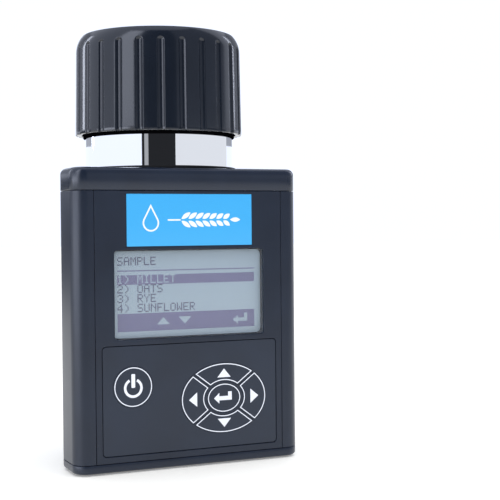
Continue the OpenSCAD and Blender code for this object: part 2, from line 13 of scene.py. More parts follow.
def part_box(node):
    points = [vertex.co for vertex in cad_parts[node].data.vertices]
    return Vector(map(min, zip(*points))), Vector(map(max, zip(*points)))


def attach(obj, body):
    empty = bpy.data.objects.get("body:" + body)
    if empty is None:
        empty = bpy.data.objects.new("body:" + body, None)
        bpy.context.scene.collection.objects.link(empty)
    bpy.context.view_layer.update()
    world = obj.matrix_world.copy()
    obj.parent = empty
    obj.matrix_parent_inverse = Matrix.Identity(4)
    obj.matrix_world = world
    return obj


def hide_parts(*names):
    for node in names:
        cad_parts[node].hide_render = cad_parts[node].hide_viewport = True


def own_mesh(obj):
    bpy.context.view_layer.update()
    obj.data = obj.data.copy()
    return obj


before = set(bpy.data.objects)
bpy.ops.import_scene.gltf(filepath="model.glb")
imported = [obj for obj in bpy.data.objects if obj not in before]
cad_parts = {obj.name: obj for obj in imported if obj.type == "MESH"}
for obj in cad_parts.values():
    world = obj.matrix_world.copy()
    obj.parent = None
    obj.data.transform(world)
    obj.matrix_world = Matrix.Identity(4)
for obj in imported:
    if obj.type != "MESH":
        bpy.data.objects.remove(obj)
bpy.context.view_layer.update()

MM = 0.001


def low_high(node):
    """Corners of a CAD node in millimetres."""
    low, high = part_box(node)
    return low / MM, high / MM


# ---- measures taken from the frame

sleeve_low, sleeve_high = low_high("main_housing")
lid_low, lid_high = low_high("top_cover")
base_low = low_high("base_cover")[0]
panel_low, panel_high = low_high("front_panel")
label_low, label_high = low_high("name_plate")
film_low, film_high = low_high("keypad_film")
glass_low, glass_high = low_high("display_glass")
lens_low, lens_high = low_high("display_lens")
door_low, door_high = low_high("battery_door")
cap_low, cap_high = low_high("cap_shell")
insert_low, insert_high = low_high("cap_insert")
chamber_low, chamber_high = low_high("measuring_chamber")
seal_low, seal_high = low_high("neck_seal")
power_low, power_high = low_high("power_key")
OVAL_X = (low_high("left_key")[0].x + low_high("right_key")[1].x) / 2
OVAL_Z = (low_high("up_key")[1].z + low_high("down_key")[0].z) / 2

FRONT = sleeve_low.y
HALF_W = sleeve_high.x
BACK_R = sleeve_high.y
CORNER_R = 7.0
FLANK_R = 10.0
WALL = 2.5
SEAM = 0.11
CORNER = Vector((HALF_W - CORNER_R, FRONT + CORNER_R))
FLANK = Vector((HALF_W - FLANK_R, FRONT + 20.0))
FLANK_TURN = math.atan2(FLANK.y, FLANK.x) + math.acos((BACK_R - FLANK_R) / FLANK.length)
PANEL_BACK = FRONT + 2.6
LEDGE_X = 43.0
LEDGE_BACK = PANEL_BACK + WALL

LID_SCREWS = ((49, -31), (44.5, -8))
BASE_SCREWS = ((49, -31), (31, 18.5))
FEET = ((38, -30), (20, 28))
FOOT_R = 5.0

WINDOW_W = 74.4
WINDOW_H = 40.8
WINDOW_Z = (glass_low.z + glass_high.z) / 2


# ---- objects from meshes

def finish_mesh(name, bm, body, material, stands_for=(), sharp=35.0, bevel=None):
    """Turns a bmesh in millimetres into a piece that rides on a body."""
    bmesh.ops.recalc_face_normals(bm, faces=bm.faces)
    mesh = bpy.data.meshes.new(name)
    bm.to_mesh(mesh)
    bm.free()
    mesh.transform(Matrix.Scale(MM, 4))
    mesh.shade_smooth()
    mesh.set_sharp_from_angle(angle=math.radians(sharp))
    mesh.materials.append(material)
    piece = bpy.data.objects.new(name, mesh)
    bpy.context.scene.collection.objects.link(piece)
    if bevel:
        add_bevel(piece, bevel)
    if body:
        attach(piece, body)
        if stands_for:
            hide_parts(*stands_for)
    return piece


def even_shading(piece):
    """Keeps wide faces evenly lit up to their narrow rounded edges."""
    piece.modifiers.new("even_shading", "WEIGHTED_NORMAL").keep_sharp = True


def add_bevel(piece, width):
    """Rounds the sharp edges of a piece by a few tenths of a millimetre."""
    bevel = piece.modifiers.new("edges", "BEVEL")
    bevel.width = width * MM
    bevel.segments = 3
    bevel.limit_method = "ANGLE"
    bevel.angle_limit = math.radians(40)
    bevel.harden_normals = True


def cut(piece, cutter_bm):
    """Takes the cutter's closed shapes out of the piece."""
    mesh = bpy.data.meshes.new("cutter")
    bmesh.ops.recalc_face_normals(cutter_bm, faces=cutter_bm.faces)
    cutter_bm.to_mesh(mesh)
    cutter_bm.free()
    mesh.transform(Matrix.Scale(MM, 4))
    cutter = bpy.data.objects.new("cutter", mesh)
    bpy.context.scene.collection.objects.link(cutter)
    tool = piece.modifiers.new("cut", "BOOLEAN")
    tool.operation = "DIFFERENCE"
    tool.solver = "EXACT"
    tool.object = cutter
    bpy.context.view_layer.update()
    graph = bpy.context.evaluated_depsgraph_get()
    result = bpy.data.meshes.new_from_object(piece.evaluated_get(graph), depsgraph=graph)
    piece.modifiers.remove(tool)
    old = piece.data
    result.name = old.name
    piece.data = result
    bpy.data.objects.remove(cutter)
    bpy.data.meshes.remove(mesh)
    bpy.data.meshes.remove(old)


def add_ring(bm, points):
    """The corners of one ring, as vertices."""
    return [bm.verts.new(p) for p in points]


def join_rings(bm, low, high):
    """The band of faces between two rings of equally many corners."""
    for i in range(len(low)):
        j = (i + 1) % len(low)
        bm.faces.new((low[i], low[j], high[j], high[i]))


def join_all(bm, rings, closed=False):
    """Joins each ring to the next one; closed adds a face over the first and the last."""
    for low, high in zip(rings, rings[1:]):
        join_rings(bm, low, high)
    if closed:
        bm.faces.new(rings[0])
        bm.faces.new(rings[-1])


def loop_edges(bm, ring):
    """The edges round a ring, made where they are missing."""
    edges = []
    for i, vert in enumerate(ring):
        other = ring[(i + 1) % len(ring)]
        edges.append(bm.edges.get((vert, other)) or bm.edges.new((vert, other)))
    return edges


def fill(bm, rings, normal):
    """Fills the flat area between an outer ring and the rings of its holes."""
    edges = [e for ring in rings for e in loop_edges(bm, ring)]
    bmesh.ops.triangle_fill(bm, use_beauty=True, use_dissolve=False, edges=edges, normal=normal)


def rounded_steps(radius, steps=3):
    """(inset, depth) pairs round a quarter of a circle, from the face to the side."""
    turns = [math.pi / 2 * k / steps for k in range(steps + 1)]
    return [(radius * (1 - math.sin(t)), radius * (1 - math.cos(t))) for t in turns]


def lathe(bm, profile, angles, radius_at=None):
    """Turns a closed (radius, height) profile round the Z axis."""
    columns = []
    for a in angles:
        column = []
        for r, z in profile:
            rr = radius_at(a, r, z) if radius_at else r
            column.append(bm.verts.new((rr * math.cos(a), rr * math.sin(a), z)))
        columns.append(column)
    join_all(bm, columns + columns[:1])


def turns(count):
    """Evenly spaced angles of a full turn."""
    return [2 * math.pi * i / count for i in range(count)]


# ---- flat outlines: lists of (x, z) or (x, y) points, anticlockwise

def arc(cx, cy, rx, ry, start, end, steps):
    """Points on an ellipse, from start to end in degrees."""
    span = [math.radians(start + (end - start) * i / steps) for i in range(steps + 1)]
    return [Vector((cx + rx * math.cos(t), cy + ry * math.sin(t))) for t in span]


def ellipse(cx, cy, rx, ry, steps=72):
    """A closed ellipse."""
    return arc(cx, cy, rx, ry, 0, 360, steps)[:-1]


def round_rect(cx, cy, w, h, r, steps=6):
    """A rectangle with rounded corners round its middle."""
    x, y = w / 2 - r, h / 2 - r
    return (
        arc(cx + x, cy - y, r, r, -90, 0, steps) + arc(cx + x, cy + y, r, r, 0, 90, steps)
        + arc(cx - x, cy + y, r, r, 90, 180, steps) + arc(cx - x, cy - y, r, r, 180, 270, steps)
    )


def inset(loop, distance):
    """The loop moved towards its inside, mitred at its corners."""
    moved = []
    for i, here in enumerate(loop):
        before, after = here - loop[i - 1], loop[(i + 1) % len(loop)] - here
        before.normalize()
        after.normalize()
        n0, n1 = Vector((-before.y, before.x)), Vector((-after.y, after.x))
        moved.append(here + (n0 + n1) * distance / max(0.45, 1 + n0.dot(n1)))
    return moved


def plate(bm, outer, front, back, holes=(), edge=0.0):
    """A flat solid between the planes y = front and y = back, its front edges rounded by edge."""
    steps = [(i, front + d) for i, d in rounded_steps(edge)] if edge else [(0.0, front)]
    steps += [(0.0, back)]
    firsts, lasts = [], []
    for loop, side in [(outer, 1)] + [(hole, -1) for hole in holes]:
        rings = []
        for shift, y in steps:
            points = inset(loop, side * shift) if shift else loop
            rings.append(add_ring(bm, [(p.x, y, p.y) for p in points]))
        join_all(bm, rings)
        firsts.append(rings[0])
        lasts.append(rings[-1])
    fill(bm, firsts, (0, -1, 0))
    fill(bm, lasts, (0, 1, 0))


def case_outline(shift=0.0):
    """Outline of the case seen from above, pulled in by shift."""
    turn = math.degrees(FLANK_TURN)
    corner, flank, back = CORNER_R - shift, FLANK_R - shift, BACK_R - shift
    return (
        arc(CORNER.x, CORNER.y, corner, corner, -90, 0, 12)
        + arc(FLANK.x, FLANK.y, flank, flank, 0, turn, 6)
        + arc(0, 0, back, back, turn, 180 - turn, 60)
        + arc(-FLANK.x, FLANK.y, flank, flank, 180 - turn, 180, 6)
        + arc(-CORNER.x, CORNER.y, corner, corner, 180, 270, 12)
    )


def level(points, z):
    """The points of an outline seen from above, at height z."""
    return [(p.x, p.y, z) for p in points]


def turned_at(bm, x, y, steps, count):
    """A closed turned shape on an upright axis at (x, y), through its (radius, height) steps."""
    join_all(bm, [add_ring(bm, level(ellipse(x, y, r, r, count), z)) for r, z in steps], closed=True)


def both_sides(places):
    """Each (x, y) place and its mirror image on the other side."""
    return [(side * x, y) for x, y in places for side in (-1, 1)]


# ---- materials

def shader(name, colour, roughness, metallic=0.0, **sockets):
    """A Principled material; sockets names further inputs, with spaces written as underscores."""
    material = bpy.data.materials.new(name)
    material.use_nodes = True
    node = material.node_tree.nodes["Principled BSDF"]
    node.inputs["Base Color"].default_value = (*colour, 1)
    node.inputs["Roughness"].default_value = roughness
    node.inputs["Metallic"].default_value = metallic
    for key, value in sockets.items():
        node.inputs[key.replace("_", " ")].default_value = value
    return material, material.node_tree, node


def noise(tree, scale, detail=3.0, stretch=(1, 1, 1)):
    """Noise in object coordinates, per metre."""
    place = tree.nodes.new("ShaderNodeTexCoord")
    mapping = tree.nodes.new("ShaderNodeMapping")
    mapping.inputs["Scale"].default_value = stretch
    texture = tree.nodes.new("ShaderNodeTexNoise")
    texture.inputs["Scale"].default_value = scale
    texture.inputs["Detail"].default_value = detail
    tree.links.new(place.outputs["Object"], mapping.inputs["Vector"])
    tree.links.new(mapping.outputs["Vector"], texture.inputs["Vector"])
    return texture.outputs["Fac"]


def vary_colour(tree, node, fac, dark, light):
    """Lets the base colour follow fac from dark to light."""
    ramp = tree.nodes.new("ShaderNodeValToRGB")
    ramp.color_ramp.elements[0].position = 0.3
    ramp.color_ramp.elements[1].position = 0.7
    ramp.color_ramp.elements[0].color = (*dark, 1)
    ramp.color_ramp.elements[1].color = (*light, 1)
    tree.links.new(fac, ramp.inputs["Fac"])
    tree.links.new(ramp.outputs["Color"], node.inputs["Base Color"])


def vary_roughness(tree, node, fac, low, high):
    """Lets the roughness follow fac from low to high."""
    span = tree.nodes.new("ShaderNodeMapRange")
    span.inputs["To Min"].default_value = low
    span.inputs["To Max"].default_value = high
    tree.links.new(fac, span.inputs["Value"])
    tree.links.new(span.outputs["Result"], node.inputs["Roughness"])


def add_bump(tree, node, fac, depth, strength=0.5):
    """Bump from fac, its depth in millimetres."""
    bump = tree.nodes.new("ShaderNodeBump")
    bump.inputs["Distance"].default_value = depth * MM
    bump.inputs["Strength"].default_value = strength
    tree.links.new(fac, bump.inputs["Height"])
    tree.links.new(bump.outputs["Normal"], node.inputs["Normal"])


def moulded(name, colour, roughness, grain=0.35, depth=0.012, spread=0.12, gloss=0.5):
    """Moulded plastic with a fine spark-eroded grain and faint cloudiness."""
    material, tree, node = shader(name, colour, roughness, Specular_IOR_Level=gloss)
    cloud = noise(tree, 45, 4)
    dark, light = [c * (1 - spread) for c in colour], [c * (1 + spread) for c in colour]
    vary_colour(tree, node, cloud, dark, light)
    fine = noise(tree, 1 / (grain * MM), 2)
    vary_roughness(tree, node, cloud, roughness - 0.03, roughness + 0.04)
    add_bump(tree, node, fine, depth)
    return material


def metal(name, colour, roughness, turned=False, depth=0.002):
    """Metal with fine marks, which run round the axis if it is turned."""
    material, tree, node = shader(name, colour, roughness, 1.0)
    marks = noise(tree, 900, 3, (0.05, 0.05, 1.0) if turned else (1, 1, 1))
    vary_roughness(tree, node, marks, roughness * 0.7, roughness * 1.4 + 0.01)
    if depth:
        add_bump(tree, node, marks, depth, 0.3)
    return material


def glossy_print(name, colour, roughness=0.35):
    """Smooth ink or label with a barely visible fleck."""
    material, tree, node = shader(name, colour, roughness)
    fleck = noise(tree, 1500, 2)
    vary_colour(tree, node, fleck, [c * 0.97 for c in colour], colour)
    return material


CASE = (0.0095, 0.0160, 0.0315)
case_plastic = moulded("case_plastic", CASE, 0.30, gloss=0.42)
lid_plastic = moulded("lid_plastic", CASE, 0.24, depth=0.006)
cap_plastic = moulded("cap_plastic", (0.0085, 0.0120, 0.0195), 0.15, depth=0.003)
film_plastic = moulded("keypad_film_print", (0.0115, 0.0195, 0.0375), 0.36, grain=0.2, depth=0.006)
key_plastic = moulded("key_print", (0.0115, 0.0195, 0.0375), 0.36, grain=0.2, depth=0.006)
black_plastic = moulded("black_plastic", (0.002, 0.002, 0.0025), 0.5, gloss=0.0)
inner_plastic = moulded("inner_plastic", (0.010, 0.011, 0.013), 0.5)
white_plastic = moulded("white_plastic", (0.75, 0.75, 0.71), 0.45, spread=0.03)
red_plastic = moulded("red_plastic", (0.45, 0.02, 0.016), 0.3, spread=0.05)
rubber = moulded("rubber", (0.005, 0.005, 0.006), 0.7, grain=0.5, depth=0.03, gloss=0.3)
polished_steel = metal("polished_steel", (0.90, 0.91, 0.92), 0.02, depth=0.0)
turned_steel = metal("turned_steel", (0.62, 0.63, 0.65), 0.28, turned=True)
screw_steel = metal("screw_steel", (0.55, 0.56, 0.58), 0.24)
brass = metal("brass", (0.62, 0.43, 0.17), 0.25)
white_print = glossy_print("white_print", (0.86, 0.88, 0.92))
blue_label = glossy_print("blue_label", (0.038, 0.400, 0.780), 0.3)
lcd_back = glossy_print("lcd_background", (0.265, 0.340, 0.385), 0.3)
lcd_ink = glossy_print("lcd_ink", (0.090, 0.080, 0.185), 0.3)
lcd_text = glossy_print("lcd_text", (0.020, 0.020, 0.075), 0.3)
cable_grey = moulded("cable_grey", (0.42, 0.43, 0.45), 0.5, spread=0.04)
wire_red = moulded("wire_red", (0.38, 0.015, 0.015), 0.4, spread=0.05)
cell_sleeve = glossy_print("cell_sleeve", (0.020, 0.120, 0.070), 0.28)
cell_band = glossy_print("cell_band", (0.62, 0.64, 0.66), 0.28)


def solder_mask():
    """Green board with paler copper tracks under the mask."""
    material, tree, node = shader("solder_mask", (0.02, 0.14, 0.05), 0.35)
    place = tree.nodes.new("ShaderNodeTexCoord")
    brick = tree.nodes.new("ShaderNodeTexBrick")
    brick.inputs["Scale"].default_value = 260
    brick.inputs["Mortar Size"].default_value = 0.012
    brick.inputs["Color1"].default_value = (0.016, 0.120, 0.045, 1)
    brick.inputs["Color2"].default_value = (0.020, 0.145, 0.055, 1)
    brick.inputs["Mortar"].default_value = (0.050, 0.260, 0.100, 1)
    tree.links.new(place.outputs["Object"], brick.inputs["Vector"])
    tree.links.new(brick.outputs["Color"], node.inputs["Base Color"])
    return material


def clear_acrylic():
    """Clear window: mostly see-through, with a thin clear reflection."""
    return shader("clear_acrylic", (0.9, 0.95, 1.0), 0.03, Alpha=0.06)[0]


board_mask = solder_mask()
clear_lens = clear_acrylic()


# ---- camera, lights and floor

# yaw to the right, pitch down and roll in degrees, place in millimetres, focal length for a 36 mm sensor
CAMERA_TURN = (24.319, 1.174, -0.486)
CAMERA_PLACE = Vector((-197.3, FRONT - 503.3, 112.2))
CAMERA_LENS = 83.60


def make_camera():
    """The camera stands left of the front, level with the top of the case, and looks slightly down."""
    yaw, pitch, roll = (math.radians(a) for a in CAMERA_TURN)
    flat = math.cos(pitch)
    forward = Vector((math.sin(yaw) * flat, math.cos(yaw) * flat, -math.sin(pitch)))
    level_right = Vector((math.cos(yaw), -math.sin(yaw), 0))
    level_up = level_right.cross(forward)
    right = math.cos(roll) * level_right + math.sin(roll) * level_up
    up = -math.sin(roll) * level_right + math.cos(roll) * level_up
    data = bpy.data.cameras.new("camera")
    data.sensor_width = 36
    data.lens = CAMERA_LENS
    camera = bpy.data.objects.new("camera", data)
    turn = Matrix((right, up, -forward)).transposed().to_4x4()
    camera.matrix_world = Matrix.Translation(CAMERA_PLACE * MM) @ turn
    bpy.context.scene.collection.objects.link(camera)
    bpy.context.scene.camera = camera


def on_circle(azimuth, radius, z):
    """A place round the object; azimuth 0 is straight in front and grows towards +X."""
    a = math.radians(azimuth)
    return Vector((radius * math.sin(a), -radius * math.cos(a), z))


def area_light(name, azimuth, radius, z, aim_z, size, power):
    """A square soft box that gives light but is not mirrored."""
    data = bpy.data.lights.new(name, "AREA")
    data.shape = "RECTANGLE"
    data.size = data.size_y = size
    data.energy = power
    light = bpy.data.objects.new(name, data)
    light.location = on_circle(azimuth, radius, z)
    light.visible_glossy = False
    aim = Vector((0, 0, aim_z)) - light.location
    light.rotation_euler = aim.to_track_quat("-Z", "Y").to_euler()
    bpy.context.scene.collection.objects.link(light)


SKY = (1.0, 1.06, 1.24)


def stage_piece(name, bm, material, mirrored_only=False):
    """A piece of the studio, in metres; mirrored_only leaves it to glossy reflections."""
    mesh = bpy.data.meshes.new(name)
    bm.to_mesh(mesh)
    bm.free()
    mesh.materials.append(material)
    piece = bpy.data.objects.new(name, mesh)
    bpy.context.scene.collection.objects.link(piece)
    if mirrored_only:
        piece.visible_camera = piece.visible_diffuse = False
        piece.visible_shadow = piece.visible_transmission = False


def card(name, start, end, low, high, glow, radius=1.3, tint=SKY):
    """A glowing curved card, from azimuth start to end, that only reflections see."""
    bm = bmesh.new()
    steps = max(2, math.ceil((end - start) / 6))
    edges = []
    for i in range(steps + 1):
        azimuth = start + (end - start) * i / steps
        edges.append([bm.verts.new(on_circle(azimuth, radius, z)) for z in (low, high)])
    for a, b in zip(edges, edges[1:]):
        bm.faces.new((a[0], b[0], b[1], a[1]))
    material, tree, node = shader(
        name, (0, 0, 0), 1.0, Emission_Strength=1.0, Specular_IOR_Level=0.0)
    node.inputs["Emission Color"].default_value = (*[glow * c for c in tint], 1)
    stage_piece(name, bm, material, mirrored_only=True)


# name, first and last azimuth in degrees, lowest and highest edge in metres, glow
SOFT_BOXES = (
    ("back_left_dim", -180, -148, 0.24, 1.0, 0.40),
    ("back_left_strip", -146, -141, 0.24, 1.0, 7.0),
    ("side_flag", -174, -126, 0.0, 0.19, 0.10),
    ("left_box", -106, -60, -0.3, 0.19, 5.0),
    ("front_left_box", -77, -50, 0.27, 2.4, 3.3),
    ("camera_side", -46, 5, 0.0, 3.0, 0.02),
    ("room", 5, 84, 0.27, 3.0, 0.28),
    ("room_low", 5, 84, 0.0, 0.27, 0.08),
    ("back_right_strip", 105, 109, 0.24, 1.0, 6.0),
    ("back_right_dim", 110, 150, 0.24, 1.0, 0.35),
)
WALL_TINT = (1.0, 1.035, 1.12)


def make_studio():
    """Even sky, pale floor, one soft light and the cards."""
    scene = bpy.context.scene
    scene.view_settings.view_transform = "Standard"
    world = bpy.data.worlds.new("studio")
    world.use_nodes = True
    world.node_tree.nodes["Background"].inputs["Color"].default_value = (*SKY, 1)
    world.node_tree.nodes["Background"].inputs["Strength"].default_value = 1.0
    scene.world = world
    bm = bmesh.new()
    bmesh.ops.create_grid(bm, x_segments=1, y_segments=1, size=6.0)
    material, tree, node = shader("floor", (0.97, 0.93, 0.81), 0.6, Emission_Strength=0.22)
    node.inputs["Emission Color"].default_value = (1, 1, 1, 1)
    vary_colour(tree, node, noise(tree, 3, 2), (0.96, 0.92, 0.80), (0.98, 0.94, 0.82))
    stage_piece("floor", bm, material)
    area_light("top", azimuth=10, radius=0.5, z=1.5, aim_z=0.1, size=1.6, power=6)
    for name, start, end, low, high, glow in SOFT_BOXES:
        card(name, start, end, low, high, glow)
    card("pale_wall", 5, 110, 0.18, 0.27, 0.8, 1.2, WALL_TINT)
    card("thin_strip", -42, -36, 0.18, 0.27, 0.4, 1.2, WALL_TINT)


# ---- case

def make_housing():
    """Sleeve with the slot for the front panel and the opening for the battery door."""
    groove_x = panel_high.x + 0.2
    inner = [p for p in case_outline(WALL) if p.y > LEDGE_BACK]
    corner = CORNER_R - WALL
    cut_x = CORNER.x + math.sqrt(corner ** 2 - (CORNER.y - LEDGE_BACK) ** 2)
    ledge = [(groove_x, PANEL_BACK), (LEDGE_X, PANEL_BACK), (LEDGE_X, LEDGE_BACK), (cut_x, LEDGE_BACK)]
    loop = [Vector((groove_x, FRONT))] + case_outline() + [Vector((-groove_x, FRONT))]
    loop += [Vector((-x, y)) for x, y in ledge] + inner[::-1] + [Vector(p) for p in ledge[::-1]]
    bm = bmesh.new()
    ends = sleeve_low.z + SEAM, sleeve_high.z - SEAM
    join_all(bm, [add_ring(bm, level(loop, z)) for z in ends], closed=True)
    piece = finish_mesh("sleeve", bm, "housing", case_plastic, ["main_housing"])
    cutter = bmesh.new()
    gap = 0.2
    bmesh.ops.create_cube(cutter, size=1.0, matrix=Matrix.LocRotScale(
        Vector((0, 40, (door_low.z + door_high.z) / 2)), None,
        Vector((2 * (door_high.x + gap), 20, door_high.z - door_low.z + 2 * gap))))
    cut(piece, cutter)
    bosses = bmesh.new()
    low, high = sleeve_low.z + 3, sleeve_high.z - 3
    for place, r, z0, z1 in (
        (LID_SCREWS[0], 4.8, low, high), (LID_SCREWS[1], 4.2, high - 22, high),
        (BASE_SCREWS[1], 4.2, low, low + 29),
    ):
        for x, y in both_sides([place]):
            turned_at(bosses, x, y, ((r, z0), (r, z1)), 32)
    finish_mesh("screw_bosses", bosses, "housing", case_plastic, bevel=0.2)
    add_bevel(piece, 0.3)


def make_lid():
    """Top cover with rounded upper edge and a round hole for the chamber's neck."""
    edge = 3.0
    hole_r = 37.2
    bm = bmesh.new()
    steps = [(WALL, lid_low.z + SEAM), (0.3, lid_low.z + SEAM)]
    steps += [(0.08, lid_low.z + 0.2), (0.0, lid_low.z + 0.4)]
    for k in range(9):
        t = math.pi / 2 * k / 8
        steps.append((edge * (1 - math.cos(t)), lid_high.z - edge * (1 - math.sin(t))))
    rings = [add_ring(bm, level(case_outline(shift), z)) for shift, z in steps]
    join_all(bm, rings)
    angles = [math.atan2(p.y, p.x) for p in case_outline(edge)]
    under_z = lid_high.z - 3
    hole = [add_ring(bm, [(r * math.cos(a), r * math.sin(a), z) for a in angles])
            for r, z in ((hole_r + 0.3, lid_high.z), (hole_r, lid_high.z - 0.3), (hole_r, under_z))]
    under = add_ring(bm, level(case_outline(WALL), under_z))
    join_all(bm, [rings[-1]] + hole + [under, rings[0]])
    piece = finish_mesh("lid", bm, "housing", lid_plastic, ["top_cover"], sharp=50)
    sinks = bmesh.new()
    for x, y in both_sides(LID_SCREWS):
        add_sink(sinks, x, y, lid_high.z, -1)
    cut(piece, sinks)
    piece.data.set_sharp_from_angle(angle=math.radians(50))


def add_sink(bm, x, y, face_z, way):
    """Cutter for a countersunk hole that goes from the face along way (1 up, -1 down)."""
    steps = ((3.3, -0.5), (3.3, 0.12), (1.7, 1.7), (1.7, 8.0))
    turned_at(bm, x, y, [(r, face_z + way * d) for r, d in steps], 32)


def make_base():
    """Base cover with a softly rounded lower edge, recessed for feet and screws."""
    edge = 1.6
    bm = bmesh.new()
    rings = []
    for k in range(7):
        t = math.pi / 2 * k / 6
        rings.append((edge * (1 - math.sin(t)), base_low.z + edge * (1 - math.cos(t))))
    seam = sleeve_low.z
    rings += [(0.0, seam - 0.4), (0.08, seam - 0.2), (0.3, seam - SEAM), (WALL + 0.3, seam - SEAM)]
    join_all(bm, [add_ring(bm, level(case_outline(shift), z)) for shift, z in rings], closed=True)
    piece = finish_mesh("base", bm, "housing", case_plastic, ["base_cover"], sharp=50)
    sinks = bmesh.new()
    for x, y in both_sides(BASE_SCREWS):
        add_sink(sinks, x, y, base_low.z + 0.28, 1)
    recess_r = FOOT_R + 0.15
    for x, y in both_sides(FEET):
        turned_at(sinks, x, y, ((recess_r, base_low.z - 1), (recess_r, base_low.z + 1.19)), 40)
    cut(piece, sinks)
    piece.data.set_sharp_from_angle(angle=math.radians(50))


def make_feet():
    """Round rubber feet with a slightly hollow face."""
    bm = bmesh.new()
    steps = [(FOOT_R, base_low.z + 1.18), (FOOT_R, 0.5)]
    steps += [(FOOT_R - i, d) for i, d in reversed(rounded_steps(0.5))]
    steps += [(3.2, 0.0), (3.0, 0.15), (0.6, 0.2)]
    for x, y in both_sides(FEET):
        turned_at(bm, x, y, steps, 40)
    finish_mesh("feet", bm, "housing", rubber, ["rubber_feet"])


CROSS_TURN = 0.4
CROSS_SLOT = Vector((3.2, 0.75, 2.0))


def make_screws(name, node, places, face_z, way, length):
    """Countersunk screws with a cross recess; way is the direction that they point."""
    bm = bmesh.new()
    steps = ((2.75, 0.0), (2.98, 0.15), (1.45, 1.55), (1.45, length - 0.8), (0.6, length))
    for x, y in both_sides(places):
        turned_at(bm, x, y, [(r, face_z + way * d) for r, d in steps], 32)
    piece = finish_mesh(name, bm, "housing", screw_steel, [node])
    # one slot of the cross at a time, because a cutter whose shapes cross each other fails
    for turn in (CROSS_TURN, CROSS_TURN + math.pi / 2):
        slots = bmesh.new()
        for x, y in both_sides(places):
            bmesh.ops.create_cube(slots, size=1.0, matrix=Matrix.LocRotScale(
                Vector((x, y, face_z)), Matrix.Rotation(turn, 3, "Z"), CROSS_SLOT))
        cut(piece, slots)


# ---- front

def key_outline(name):
    """Outline of each key's top, its edge as wide as the CAD key."""
    a, b = 21.5, 16.4
    ring_a, ring_b, gap = 10.05, 8.15, 0.55
    slope = math.atan2(b, a)

    def turn(ea, eb, way):
        reach = math.hypot(ea * math.sin(slope), eb * math.cos(slope))
        base = math.atan2(ea * math.sin(slope), eb * math.cos(slope))
        return math.degrees(base + way * math.asin(gap / reach))

    if name == "power":
        cx, cz = (power_low.x + power_high.x) / 2, (power_low.z + power_high.z) / 2
        return ellipse(cx, cz, 9.35, 9.35, 96)
    if name == "enter":
        return ellipse(OVAL_X, OVAL_Z, 8.45, 6.8, 96)
    upright = name in ("up", "down")
    way = 1 if upright else -1
    outer, inner = turn(a, b, way), turn(ring_a, ring_b, way)
    if upright:
        loop = arc(0, 0, a, b, outer, 180 - outer, 40)
        loop += arc(0, 0, ring_a, ring_b, 180 - inner, inner, 24)
    else:
        loop = arc(0, 0, a, b, -outer, outer, 40) + arc(0, 0, ring_a, ring_b, inner, -inner, 24)
    flip_x, flip_z = (-1 if name == "left" else 1), (-1 if name == "down" else 1)
    loop = [Vector((OVAL_X + flip_x * p.x, OVAL_Z + flip_z * p.y)) for p in loop]
    return loop[::-1] if flip_x * flip_z < 0 else loop


KEYS = ("power", "up", "down", "left", "right", "enter")
PRINT_T = 0.02
KEY_TOP = FRONT + PRINT_T


def middle(loop):
    """Middle of the outline's box."""
    xs, zs = [p.x for p in loop], [p.y for p in loop]
    return Vector(((min(xs) + max(xs)) / 2, (min(zs) + max(zs)) / 2))


def thick_line(points, width):
    """Closed outline of a stroke of even width along open points."""
    left, right = [], []
    for i, p in enumerate(points):
        along = points[min(i + 1, len(points) - 1)] - points[max(i - 1, 0)]
        along.normalize()
        side = Vector((-along.y, along.x)) * width / 2
        left.append(p + side)
        right.append(p - side)
    return right + left[::-1]


def triangle(cx, cz, half, height, turn):
    """Arrow head with its tip at turn degrees from +x."""
    a = math.radians(turn)
    along, across = Vector((math.cos(a), math.sin(a))), Vector((-math.sin(a), math.cos(a)))
    base = Vector((cx, cz)) - along * height / 2
    return [base + along * height, base + across * half, base - across * half]


def key_icon(name):
    """Outlines of the white mark printed on a key."""
    loop = key_outline(name)
    centre = middle(loop)
    arrows = {
        "up": (90, 0.0, 0.6), "down": (270, 0.0, -0.65),
        "left": (180, -1.15, 0.0), "right": (0, 1.0, 0.0),
    }
    if name in arrows:
        turn, dx, dz = arrows[name]
        half, height = 3.4, 4.1
        return [triangle(centre.x + dx, centre.y + dz, half, height, turn)]
    if name == "power":
        gap = 27
        ring = thick_line(arc(centre.x, centre.y - 0.45, 3.9, 3.9, 90 + gap, 450 - gap, 40), 1.2)
        bar = round_rect(centre.x, centre.y + 2.8, 1.8, 6.3, 0.4)
        return [ring, bar]
    x, z = centre
    return [[Vector((x + dx, z + dz)) for dx, dz in (
        (-5.2, -0.1), (-2.5, -2.6), (-2.5, -1.15), (3.9, -1.15), (3.9, 2.85), (2.0, 2.85), (2.0, 0.8),
        (-2.5, 0.8), (-2.5, 2.4),
    )]]


def make_keys():
    """Keys that stand just above the film, each with a white line and mark."""
    for name in KEYS:
        loop = key_outline(name)
        wide = inset(loop, -0.12)
        bm = bmesh.new()
        plate(bm, wide, KEY_TOP, PANEL_BACK + 0.1, edge=0.12)
        even_shading(finish_mesh(
            name + "_button", bm, "key_" + name, key_plastic, [name + "_key"]))
        bm = bmesh.new()
        start = 0.35 if name == "power" else 0.2
        line_out, line_in = inset(loop, start), inset(loop, start + 0.42)
        plate(bm, line_out, FRONT, KEY_TOP + 0.005, holes=[line_in])
        for icon in key_icon(name):
            plate(bm, icon, FRONT, KEY_TOP + 0.005)
        finish_mesh(name + "_print", bm, "key_" + name, white_print)


